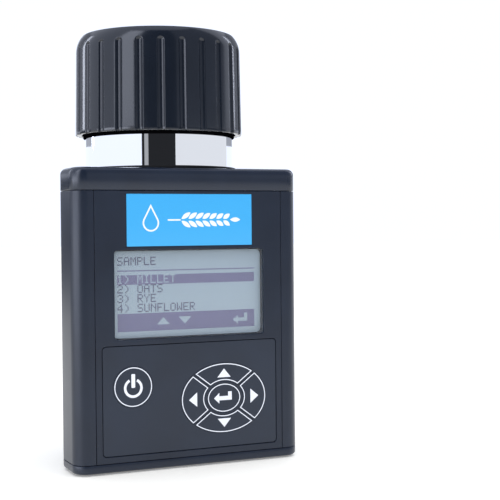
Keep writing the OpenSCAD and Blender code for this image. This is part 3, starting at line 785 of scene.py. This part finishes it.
def make_film():
    """Keypad film and a black sheet behind its edge, painted shade that turns the groove round the film
    into a dark line; both have a hole per key.
    """
    cz = (film_low.z + film_high.z) / 2
    w, h = film_high.x - film_low.x, film_high.z - film_low.z
    bm = bmesh.new()
    holes = [inset(key_outline(name), -0.2) for name in KEYS]
    sheet_back = film_high.y - 0.1
    sheet = round_rect(0, cz, w - 0.24, h - 0.24, 1.6)
    plate(bm, sheet, film_low.y, sheet_back, holes=holes, edge=0.1)
    even_shading(finish_mesh(
        "keypad_sheet", bm, "housing", film_plastic, ["keypad_film"]))
    bm = bmesh.new()
    # painted shade: a black sheet under the gap round the film, darkening the real groove into a dark line
    plate(bm, round_rect(0, cz, w + 0.3, h + 0.3, 1.8), sheet_back, film_high.y - 0.02, holes=holes)
    finish_mesh("keypad_groove_shade", bm, "housing", black_plastic)


def make_panel():
    """Front panel: window, shallow pockets for the label and the film, and holes behind the keys."""
    z0, z1 = panel_low.z + SEAM, panel_high.z - SEAM
    cz = (z0 + z1) / 2
    outer = round_rect(0, cz, 2 * panel_high.x, z1 - z0, 0.15, 2)
    window = round_rect(0, WINDOW_Z, WINDOW_W, WINDOW_H, 1.6)
    label_z = (label_low.z + label_high.z) / 2
    label = round_rect(0, label_z, label_high.x * 2 + 0.2, label_high.z - label_low.z + 0.2, 0.3)
    pad_z = (film_low.z + film_high.z) / 2
    pad = round_rect(0, pad_z, film_high.x * 2 + 0.36, film_high.z - film_low.z + 0.36, 1.9)
    floors = {"label": FRONT + 0.5, "pad": film_high.y}
    edge = 0.22
    bm = bmesh.new()

    def side(loop, way, start, end, round_start):
        steps = [(i, start + d) for i, d in rounded_steps(edge)] if round_start else [(0.0, start)]
        rings = [add_ring(bm, [(p.x, y, p.y) for p in (inset(loop, way * s) if s else loop)])
                 for s, y in steps + [(0.0, end)]]
        join_all(bm, rings)
        return rings[0], rings[-1]

    outer_front, outer_back = side(outer, 1, FRONT, PANEL_BACK, True)
    window_front, window_back = side(window, -1, FRONT, PANEL_BACK, True)
    label_front, label_floor = side(label, -1, FRONT, floors["label"], True)
    pad_front, pad_floor = side(pad, -1, FRONT, floors["pad"], True)
    key_sides = [side(inset(key_outline(k), -0.2), -1, floors["pad"], PANEL_BACK, False) for k in KEYS]
    fill(bm, [outer_front, window_front, label_front, pad_front], (0, -1, 0))
    fill(bm, [label_floor], (0, -1, 0))
    fill(bm, [pad_floor] + [front for front, back in key_sides], (0, -1, 0))
    fill(bm, [outer_back, window_back] + [back for front, back in key_sides], (0, 1, 0))
    even_shading(finish_mesh(
        "panel", bm, "housing", case_plastic, ["front_panel"]))


def make_label():
    """Blue name plate with a plain drop and an ear of grain in white."""
    cz = (label_low.z + label_high.z) / 2
    half_w, h = label_high.x, label_high.z - label_low.z
    bm = bmesh.new()
    plate(bm, round_rect(0, cz, 2 * half_w, h, 0.3), label_low.y, label_high.y, edge=0.06)
    finish_mesh("label", bm, "housing", blue_label, ["name_plate"])
    bm = bmesh.new()
    top, back = label_low.y - PRINT_T, label_low.y + 0.005

    def drop(cx, cz, r, tip):
        side = math.degrees(math.asin(r / tip))
        return arc(cx, cz, r, r, 180 - side, 360 + side, 28) + [Vector((cx, cz + tip))]

    outline = drop(-19.5, cz - 1.3, 4.0, 8.6)
    plate(bm, outline, top, back, holes=[inset(outline, 0.75)])

    def kernel(x, z, turn, length, width):
        a = math.radians(turn)
        along, across = Vector((math.cos(a), math.sin(a))), Vector((-math.sin(a), math.cos(a)))
        root = Vector((x, z))
        sides = [(t / 10, math.sin(math.pi * t / 10) ** 0.8) for t in range(11)]
        low = [root + along * length * t - across * width / 2 * w for t, w in sides]
        return low + [root + along * length * t + across * width / 2 * w for t, w in sides[-2:0:-1]]

    stem_x, pitch = -6.5, 3.5
    plate(bm, round_rect(stem_x - 1.6, cz, 6.4, 0.7, 0.3), top, back)
    for i in range(7):
        x = stem_x + 2.0 + i * pitch
        size = 5.4 - 0.22 * i
        plate(bm, kernel(x, cz + 0.45, 34, size, 2.1), top, back)
        plate(bm, kernel(x, cz - 0.45, -34, size, 2.1), top, back)
    plate(bm, kernel(stem_x + 2.0 + 7 * pitch, cz, 0, 5.2, 2.1), top, back)
    finish_mesh("label_mark", bm, "housing", white_print)


# ---- display: 128 by 64 dots

GLYPHS = {
    "A": "01110 10001 10001 11111 10001 10001 10001",
    "E": "11111 10000 10000 11110 10000 10000 11111",
    "F": "11111 10000 10000 11110 10000 10000 10000",
    "I": "01110 00100 00100 00100 00100 00100 01110",
    "L": "10000 10000 10000 10000 10000 10000 11111",
    "M": "10001 11011 10101 10101 10001 10001 10001",
    "N": "10001 11001 10101 10011 10001 10001 10001",
    "O": "01110 10001 10001 10001 10001 10001 01110",
    "P": "11110 10001 10001 11110 10000 10000 10000",
    "R": "11110 10001 10001 11110 10100 10010 10001",
    "S": "01111 10000 10000 01110 00001 00001 11110",
    "T": "11111 00100 00100 00100 00100 00100 00100",
    "U": "10001 10001 10001 10001 10001 10001 01110",
    "W": "10001 10001 10001 10101 10101 11011 10001",
    "Y": "10001 10001 01010 00100 00100 00100 00100",
    "1": "00100 01100 00100 00100 00100 00100 01110",
    "2": "01110 10001 00001 00110 01000 10000 11111",
    "3": "01110 10001 00001 00110 00001 10001 01110",
    "4": "00010 00110 01010 10010 11111 00010 00010",
    ")": "01000 00100 00010 00010 00010 00100 01000",
    " ": "00000 00000 00000 00000 00000 00000 00000",
}
DOTS_X, DOTS_Z = 128, 64
# row, first and last dot of the return arrow
ENTER_ROWS = (
    (52, 118, 120), (53, 118, 120), (54, 111, 111), (54, 118, 120), (55, 110, 111), (55, 118, 120),
    (56, 108, 120), (57, 107, 120), (58, 108, 120), (59, 110, 111), (60, 111, 111),
)
DOT_PITCH_X, DOT_PITCH_Z = 0.535, 0.552
SCREEN_X, SCREEN_Z = -0.65, WINDOW_Z + 0.1


def write_text(grid, text, column, row, ink):
    """Sets the dots of a line of text to ink, from its upper left corner."""
    for i, letter in enumerate(text):
        for r, line in enumerate(GLYPHS[letter].split()):
            for c, dot in enumerate(line):
                if dot == "1":
                    grid[row + r][column + 6 * i + c] = ink


def screen_dots():
    """The menu of samples, one list of dots per row from the top: 1 in a bar, 2 in a letter."""
    grid = [[0] * DOTS_X for _ in range(DOTS_Z)]

    def bar(row, rows):
        for r in range(row, row + rows):
            grid[r] = [1] * DOTS_X

    write_text(grid, "SAMPLE", 0, 1, 2)
    bar(12, 1)
    bar(16, 8)
    write_text(grid, "1) MILLET", 0, 16, 0)
    for i, line in enumerate(("2) OATS", "3) RYE", "4) SUNFLOWER")):
        write_text(grid, line, 0, 24 + 8 * i, 2)
    bar(48, 15)
    for r in range(6):
        for c in range(-r, r + 1):
            grid[52 + r][41 + c] = 0
            grid[57 - r][61 + c] = 0
    for r, c0, c1 in ENTER_ROWS:
        for c in range(c0, c1 + 1):
            grid[r - 1][c] = 0
    return grid


def add_box(bm, x0, x1, y0, y1, z0, z1):
    """A closed box between two corners."""
    rings = [add_ring(bm, [(x0, y, z0), (x1, y, z0), (x1, y, z1), (x0, y, z1)]) for y in (y0, y1)]
    join_all(bm, rings, closed=True)


def make_dots(name, dots, kind, material, glass_front):
    """Thin tiles for the dots of one kind, each run of dots in a row as one tile."""
    bm = bmesh.new()
    left, top = SCREEN_X - DOTS_X / 2 * DOT_PITCH_X, SCREEN_Z + DOTS_Z / 2 * DOT_PITCH_Z
    space = 0.02
    for row, line in enumerate(dots):
        column = 0
        z1 = top - row * DOT_PITCH_Z
        while column < DOTS_X:
            run = 0
            while column + run < DOTS_X and line[column + run] == kind:
                run += 1
            if run:
                x0 = left + column * DOT_PITCH_X
                x1, z0 = x0 + run * DOT_PITCH_X - space, z1 - DOT_PITCH_Z + space
                add_box(bm, x0, x1, glass_front - 0.03, glass_front + 0.01, z0, z1)
            column += run + 1
    finish_mesh(name, bm, "housing", material)


def make_display():
    """Display glass, its dots and the clear window over it."""
    glass_front = glass_low.y
    bm = bmesh.new()
    w, h = glass_high.x - glass_low.x, glass_high.z - glass_low.z
    plate(bm, round_rect(0, WINDOW_Z, w, h, 2.2), glass_front, glass_high.y, edge=0.1)
    finish_mesh("lcd_glass", bm, "housing", lcd_back, ["display_glass"])
    dots = screen_dots()
    make_dots("lcd_bars", dots, 1, lcd_ink, glass_front)
    make_dots("lcd_letters", dots, 2, lcd_text, glass_front)
    bm = bmesh.new()
    outline = round_rect(0, WINDOW_Z, WINDOW_W - 0.1, WINDOW_H - 0.1, 1.55)
    plate(bm, outline, lens_low.y, lens_high.y, edge=0.1)
    finish_mesh("window", bm, "housing", clear_lens, ["display_lens"])


# ---- measuring chamber and cap

# the thread's lead and ridge height, the neck's step, the thread's start and the neck's radius
LEAD = 6.0
RIDGE_H = 1.0
STEP_Z = 158.6
THREAD_Z = STEP_Z + 3.4
NECK_R = 36.2


def ridge(angle, z, start_z, total):
    """Height, 0 to 1, of a two-start thread ridge at a place on the wall."""
    best = 0.0
    for begin in (0.0, 180.0):
        first = (math.degrees(angle) - begin) % 360
        for k in range(int(total // 360) + 1):
            a = first + 360 * k
            if a > total:
                continue
            off = abs(z - start_z - LEAD * a / 360)
            fade = min(1.0, a / 14, (total - a) / 14)
            best = max(best, min(1.0, max(0.0, (0.64 - off) / 0.29)) * fade)
    return best


def levels(z0, z1, step):
    """Heights from z0 to z1, about step apart."""
    count = max(1, round((z1 - z0) / step))
    return [z0 + (z1 - z0) * i / count for i in range(count + 1)]


def turned_piece(name, profile, count, body, material, node, radius_at=None):
    """A piece turned from a closed profile round the Z axis."""
    bm = bmesh.new()
    lathe(bm, profile, turns(count), radius_at)
    finish_mesh(name, bm, body, material, [node], sharp=40)


def make_chamber():
    """Turned and polished measuring cup with its external thread."""
    neck, spigot, bore = NECK_R, 34.8, 32.7
    floor_top, floor_low = chamber_low.z + 2, chamber_low.z
    hole = 7.05
    flange_z, flange_r = lid_high.z - 5, chamber_high.x
    rim = chamber_high.z
    profile = [(hole, floor_low), (neck - 0.5, floor_low), (neck, floor_low + 0.5), (neck, flange_z)]
    profile += [(flange_r, flange_z), (flange_r, flange_z + 2), (neck, flange_z + 2), (neck, STEP_Z - 0.4)]
    profile += [(neck - 0.4, STEP_Z), (spigot, STEP_Z)]
    profile += [(spigot, z) for z in levels(THREAD_Z - 1, THREAD_Z + 10, 0.18)]
    profile += [(spigot, rim - 0.5), (spigot - 0.5, rim), (bore + 0.5, rim), (bore, rim - 0.5)]
    profile += [(bore, floor_top + 2.0)] + [(bore - 2 + 2 * math.cos(t), floor_top + 2 - 2 * math.sin(t))
                                            for t in (0.4, 0.8, 1.2)]
    profile += [(bore - 2, floor_top), (hole, floor_top)]

    def radius(a, r, z):
        on_wall = abs(r - spigot) < 0.01 and THREAD_Z - 1 <= z <= THREAD_Z + 10
        return r + RIDGE_H * ridge(a, z, THREAD_Z, 540) if on_wall else r

    turned_piece("measuring_cup", profile, 180, "housing", polished_steel, "measuring_chamber",
                 radius)


def make_seal():
    """Rubber collar between the lid and the neck."""
    z0, top = seal_low.z, seal_high.z
    neck, hole, lip, edge = NECK_R, 37.15, 38.0, 0.5
    profile = [(neck, z0), (hole, z0), (hole, lid_high.z + 0.01)]
    profile += [(lip - 0.05, lid_high.z + 0.01), (lip, lid_high.z + 0.1), (lip, top - edge)]
    profile += [(lip - edge + edge * math.cos(t), top - edge + edge * math.sin(t)) for t in (0.5, 1.0)]
    profile += [(lip - 0.5, top), (neck + 0.25, top), (neck, top - 0.25)]
    turned_piece("collar", profile, 180, "housing", rubber, "neck_seal")


FLUTES = 25
FLUTE_HALF, FLUTE_D = 1.75, 1.0
FLUTE_R = (FLUTE_HALF ** 2 + FLUTE_D ** 2) / (2 * FLUTE_D)
FLUTE_PHASE = math.radians(-18.25 - 90)
FLUTE_LIP = 0.35


def flute_depth(distance):
    """Depth of a flute at a distance from its middle, with softly broken edges."""
    turn_at = FLUTE_HALF - FLUTE_LIP * 0.6
    if distance < turn_at:
        return math.sqrt(FLUTE_R ** 2 - distance ** 2) - FLUTE_R + FLUTE_D
    at_turn = math.sqrt(FLUTE_R ** 2 - turn_at ** 2) - FLUTE_R + FLUTE_D
    over = (distance - turn_at) / (FLUTE_LIP * 1.4)
    return at_turn * (1 - over) ** 2 if over < 1 else 0.0


def make_cap():
    """Fluted cap: flat top with a recess for the indicator pin, hollow below."""
    base_r, top_r = cap_high.x, 40.3
    shoulder_r, crown_r, bend = 12.0, 1.0, math.radians(40.2)
    z0, z1 = cap_low.z, cap_high.z
    stop = z1 - 7.0
    shoulder_z = z1 - crown_r - (shoulder_r - crown_r) * math.sin(bend)
    middle_r = top_r - shoulder_r

    def wall(z):
        if z <= shoulder_z:
            return base_r + (top_r - base_r) * (z - z0) / (shoulder_z - z0)
        return middle_r + math.sqrt(shoulder_r ** 2 - (z - shoulder_z) ** 2)

    reach = [FLUTE_HALF * math.sin(math.pi / 2 * k / 9) for k in range(1, 8)]
    reach += [FLUTE_HALF - FLUTE_LIP * 0.6 + FLUTE_LIP * 1.4 * k / 5 for k in range(6)]
    outer = [(base_r - 0.35, z0), (base_r - 0.1, z0 + 0.1), (wall(z0 + 0.4), z0 + 0.4)]
    heights = levels(z0 + 2, shoulder_z, 4.0) + levels(shoulder_z + 0.4, stop - 0.02, 0.4)
    outer += [(wall(z), z) for z in heights]
    outer += [(wall(stop + s), stop + s) for s in sorted(reach)]
    bend_z = shoulder_z + shoulder_r * math.sin(bend)
    outer += [(wall(z), z) for z in levels(outer[-1][1], bend_z, 0.35)[1:]]
    crown = (middle_r + (shoulder_r - crown_r) * math.cos(bend), z1 - crown_r)
    for k in range(1, 8):
        t = bend + (math.pi / 2 - bend) * k / 7
        outer.append((crown[0] + crown_r * math.cos(t), crown[1] + crown_r * math.sin(t)))
    well, well_z, pin_hole = 8.6, z1 - 2.4, 4.6
    top = [(30.0, z1 - 0.02), (20.0, z1 - 0.05), (well + 0.5, z1 - 0.05)]
    top += [(well + 0.12, z1 - 0.17), (well, z1 - 0.5)]
    inside = [(well, well_z + 0.2), (well - 0.2, well_z), (pin_hole + 0.2, well_z),
              (pin_hole, well_z - 0.2), (pin_hole, z1 - 4.0), (36.5, z1 - 4.0), (38.0, z1 - 5.5),
              (38.0, z0 + 0.2), (38.2, z0)]
    profile = outer + top + inside
    fluted = len(outer)

    across = [0.0] + reach
    offsets = sorted({-s for s in across} | set(across))
    angles = []
    for i in range(FLUTES):
        centre = FLUTE_PHASE + 2 * math.pi * i / FLUTES
        angles += [(centre + s / base_r, s) for s in offsets]
        gap = 2 * math.pi / FLUTES - 2 * offsets[-1] / base_r
        angles += [(centre + offsets[-1] / base_r + gap * k / 6, 9.0) for k in range(1, 6)]

    bm = bmesh.new()
    columns = []
    for angle, s in angles:
        column = []
        for k, (r, z) in enumerate(profile):
            drop = flute_depth(math.hypot(s, max(0.0, z - stop))) if k < fluted else 0.0
            column.append(bm.verts.new(((r - drop) * math.cos(angle), (r - drop) * math.sin(angle), z)))
        columns.append(column)
    join_all(bm, columns + columns[:1])
    finish_mesh("fluted_cap", bm, "cap", cap_plastic, ["cap_shell"], sharp=48)


def make_cap_liner():
    """Black liner with the internal thread and the lip that shows below the cap."""
    lip_out, lip_in, bore, outside = 37.3, 36.6, 36.3, 37.95
    z0, z1 = insert_low.z, insert_high.z
    profile = [(lip_in, z0), (lip_out - 0.15, z0), (lip_out, z0 + 0.15), (lip_out, cap_low.z + 0.2)]
    profile += [(outside, cap_low.z + 0.2), (outside, z1), (bore, z1)]
    start = THREAD_Z - LEAD / 4
    wall = [(bore, z) for z in levels(start - 0.9, start + 8.6, 0.18)]
    profile += wall[::-1] + [(bore, cap_low.z + 2), (lip_in, cap_low.z + 1.9)]

    def radius(a, r, z):
        on_wall = abs(r - bore) < 0.01 and start - 0.9 <= z <= start + 8.6
        return r - RIDGE_H * ridge(a, z, start, 450) if on_wall else r

    turned_piece("cap_liner", profile, 180, "cap", black_plastic, "cap_insert",
                 radius)


def make_plunger_parts():
    """Pressure plate with a ringed face, and the red indicator pin with a domed end."""
    low, high = low_high("pressure_plate")
    r, hub, bore = high.x, 7.0, 4.03
    profile = [(bore, low.z + 1.5), (0.02, low.z + 1.5), (0.02, low.z)]
    for ring in (9, 15, 21, 27):
        groove = low.z + 0.35
        profile += [(ring, low.z), (ring + 0.3, groove), (ring + 0.9, groove), (ring + 1.2, low.z)]
    profile += [(r - 0.5, low.z), (r, low.z + 0.5), (r, low.z + 3.1), (r - 0.4, low.z + 3.5),
                (hub + 0.6, low.z + 3.5), (hub, low.z + 4.1), (hub, high.z - 0.4),
                (hub - 0.4, high.z), (bore, high.z)]
    turned_piece("press_disc", profile, 120, "plunger", turned_steel, "pressure_plate")
    low, high = low_high("indicator_pin")
    top = high.z
    profile = [(0.02, low.z), (3.98, low.z), (3.98, top - 0.9)]
    profile += [(3.1 + 0.88 * math.cos(t), top - 0.9 + 0.88 * math.sin(t)) for t in (0.35, 0.7, 1.05, 1.4)]
    profile += [(2.6, top), (0.02, top)]
    turned_piece("pin", profile, 72, "plunger", red_plastic, "indicator_pin")


def make_spring():
    """The coil spring, taken from its CAD node, which rides on the plunger body."""
    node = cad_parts["pressure_spring"]
    bm = bmesh.new()
    bm.from_mesh(node.data)
    bm.transform(node.matrix_world)
    bmesh.ops.scale(bm, vec=(1 / MM, 1 / MM, 1 / MM), verts=bm.verts)
    piece = finish_mesh(
        "coil_spring", bm, "plunger", turned_steel, ["pressure_spring"], sharp=60)
    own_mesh(piece)


# ---- battery door and cells

def make_door():
    """Curved door with a shallow thumb dish and grip ridges near its upper edge."""
    x1, z0, z1 = door_high.x, door_low.z, door_high.z
    grip_z, grip_h, grip_x = z1 - 15, 7.0, 9.0

    def dish(x, z):
        u = math.hypot(x / grip_x, (z - grip_z) / grip_h)
        if u >= 1:
            return 0.0
        depth = 1.1 * (1 - u * u)
        ripple = 0.5 * (1 + math.cos(2 * math.pi * (z - grip_z) / 2.4))
        return depth - min(depth, 0.75) * ripple * 0.55

    xs = [x1 * k / 24 for k in range(-24, 25)]
    zs = levels(z0, z1 - 24, 8.0)[:-1] + levels(z1 - 24, z1 - 6, 0.3) + [z1]
    bm = bmesh.new()

    def surface(radius, dished):
        rows = []
        for z in zs:
            row = []
            for x in xs:
                r = radius - (dish(x, z) if dished else 0.0)
                y = math.sqrt(radius ** 2 - x ** 2) - (radius - r)
                row.append(bm.verts.new((x, y, z)))
            rows.append(row)
        for a, b in zip(rows, rows[1:]):
            for i in range(len(xs) - 1):
                bm.faces.new((a[i], a[i + 1], b[i + 1], b[i]))
        return rows

    outer, inner = surface(BACK_R, True), surface(BACK_R - WALL, False)

    def rim(rows):
        last = len(xs) - 1
        return (rows[0][:-1] + [row[last] for row in rows[:-1]] + rows[-1][:0:-1]
                + [row[0] for row in rows[:0:-1]])

    join_rings(bm, rim(outer), rim(inner))
    finish_mesh("door", bm, "door", case_plastic, ["battery_door"], sharp=50, bevel=0.35)


def make_cells():
    """Four cells with a sleeve, a pale band and metal ends."""
    sleeve_bm, band_bm, end_bm = bmesh.new(), bmesh.new(), bmesh.new()
    low, high = low_high("battery_cells")
    length, r, y = 49.9, 7.1, (low.y + high.y) / 2
    for cx in (-7.4, 7.4):
        for z in (low.z, low.z + 50):
            for bm, steps in (
                (sleeve_bm, ((r - 0.6, 0.1), (r - 0.1, 0.2), (r, 0.5), (r, 35.0))),
                (band_bm, ((r, 35.0), (r, 47.6), (r - 0.15, 48.1), (r - 0.7, 48.25))),
                (end_bm, ((2.7, 48.2), (2.7, length - 0.2), (2.5, length))),
                (end_bm, ((5.0, 0.0), (5.2, 0.11))),
            ):
                turned_at(bm, cx, y, [(rr, z + zz) for rr, zz in steps], 48)
    finish_mesh("cells", sleeve_bm, "housing", cell_sleeve, ["battery_cells"])
    finish_mesh("cell_bands", band_bm, "housing", cell_band)
    finish_mesh("cell_ends", end_bm, "housing", screw_steel)


# ---- CAD nodes that keep their shape

def dress_cad():
    """Materials for the nodes whose CAD shape is already right."""
    looks = (
        (black_plastic, "display_bezel buzzer sensor_lead"),
        (white_plastic, "display_backlight electrode_bush thrust_washer"),
        (board_mask, "display_board main_board keypad_board sensor_board"),
        (brass, "board_spacers"),
        (screw_steel, "board_screws keypad_screws bracket_screws electrode_nut battery_contacts"),
        (screw_steel, "retaining_clip"),
        (turned_steel, "key_domes temperature_probe"),
        (cable_grey, "ribbon_cable"),
        (inner_plastic, "chamber_bracket battery_tray"),
        (polished_steel, "center_electrode"),
        (wire_red, "battery_leads"),
    )
    for material, names in looks:
        for name in names.split():
            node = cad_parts[name]
            node.data.materials.clear()
            node.data.materials.append(material)


make_camera()
make_studio()
make_housing()
make_lid()
make_base()
make_feet()
make_screws("lid_screws", "cover_screws", LID_SCREWS, lid_high.z - 0.12, -1, 22)
make_screws("foot_screws", "base_screws", BASE_SCREWS, base_low.z + 0.42, 1, 18)
make_panel()
make_label()
make_film()
make_keys()
make_display()
make_chamber()
make_seal()
make_cap()
make_cap_liner()
make_plunger_parts()
make_spring()
make_door()
make_cells()
dress_cad()
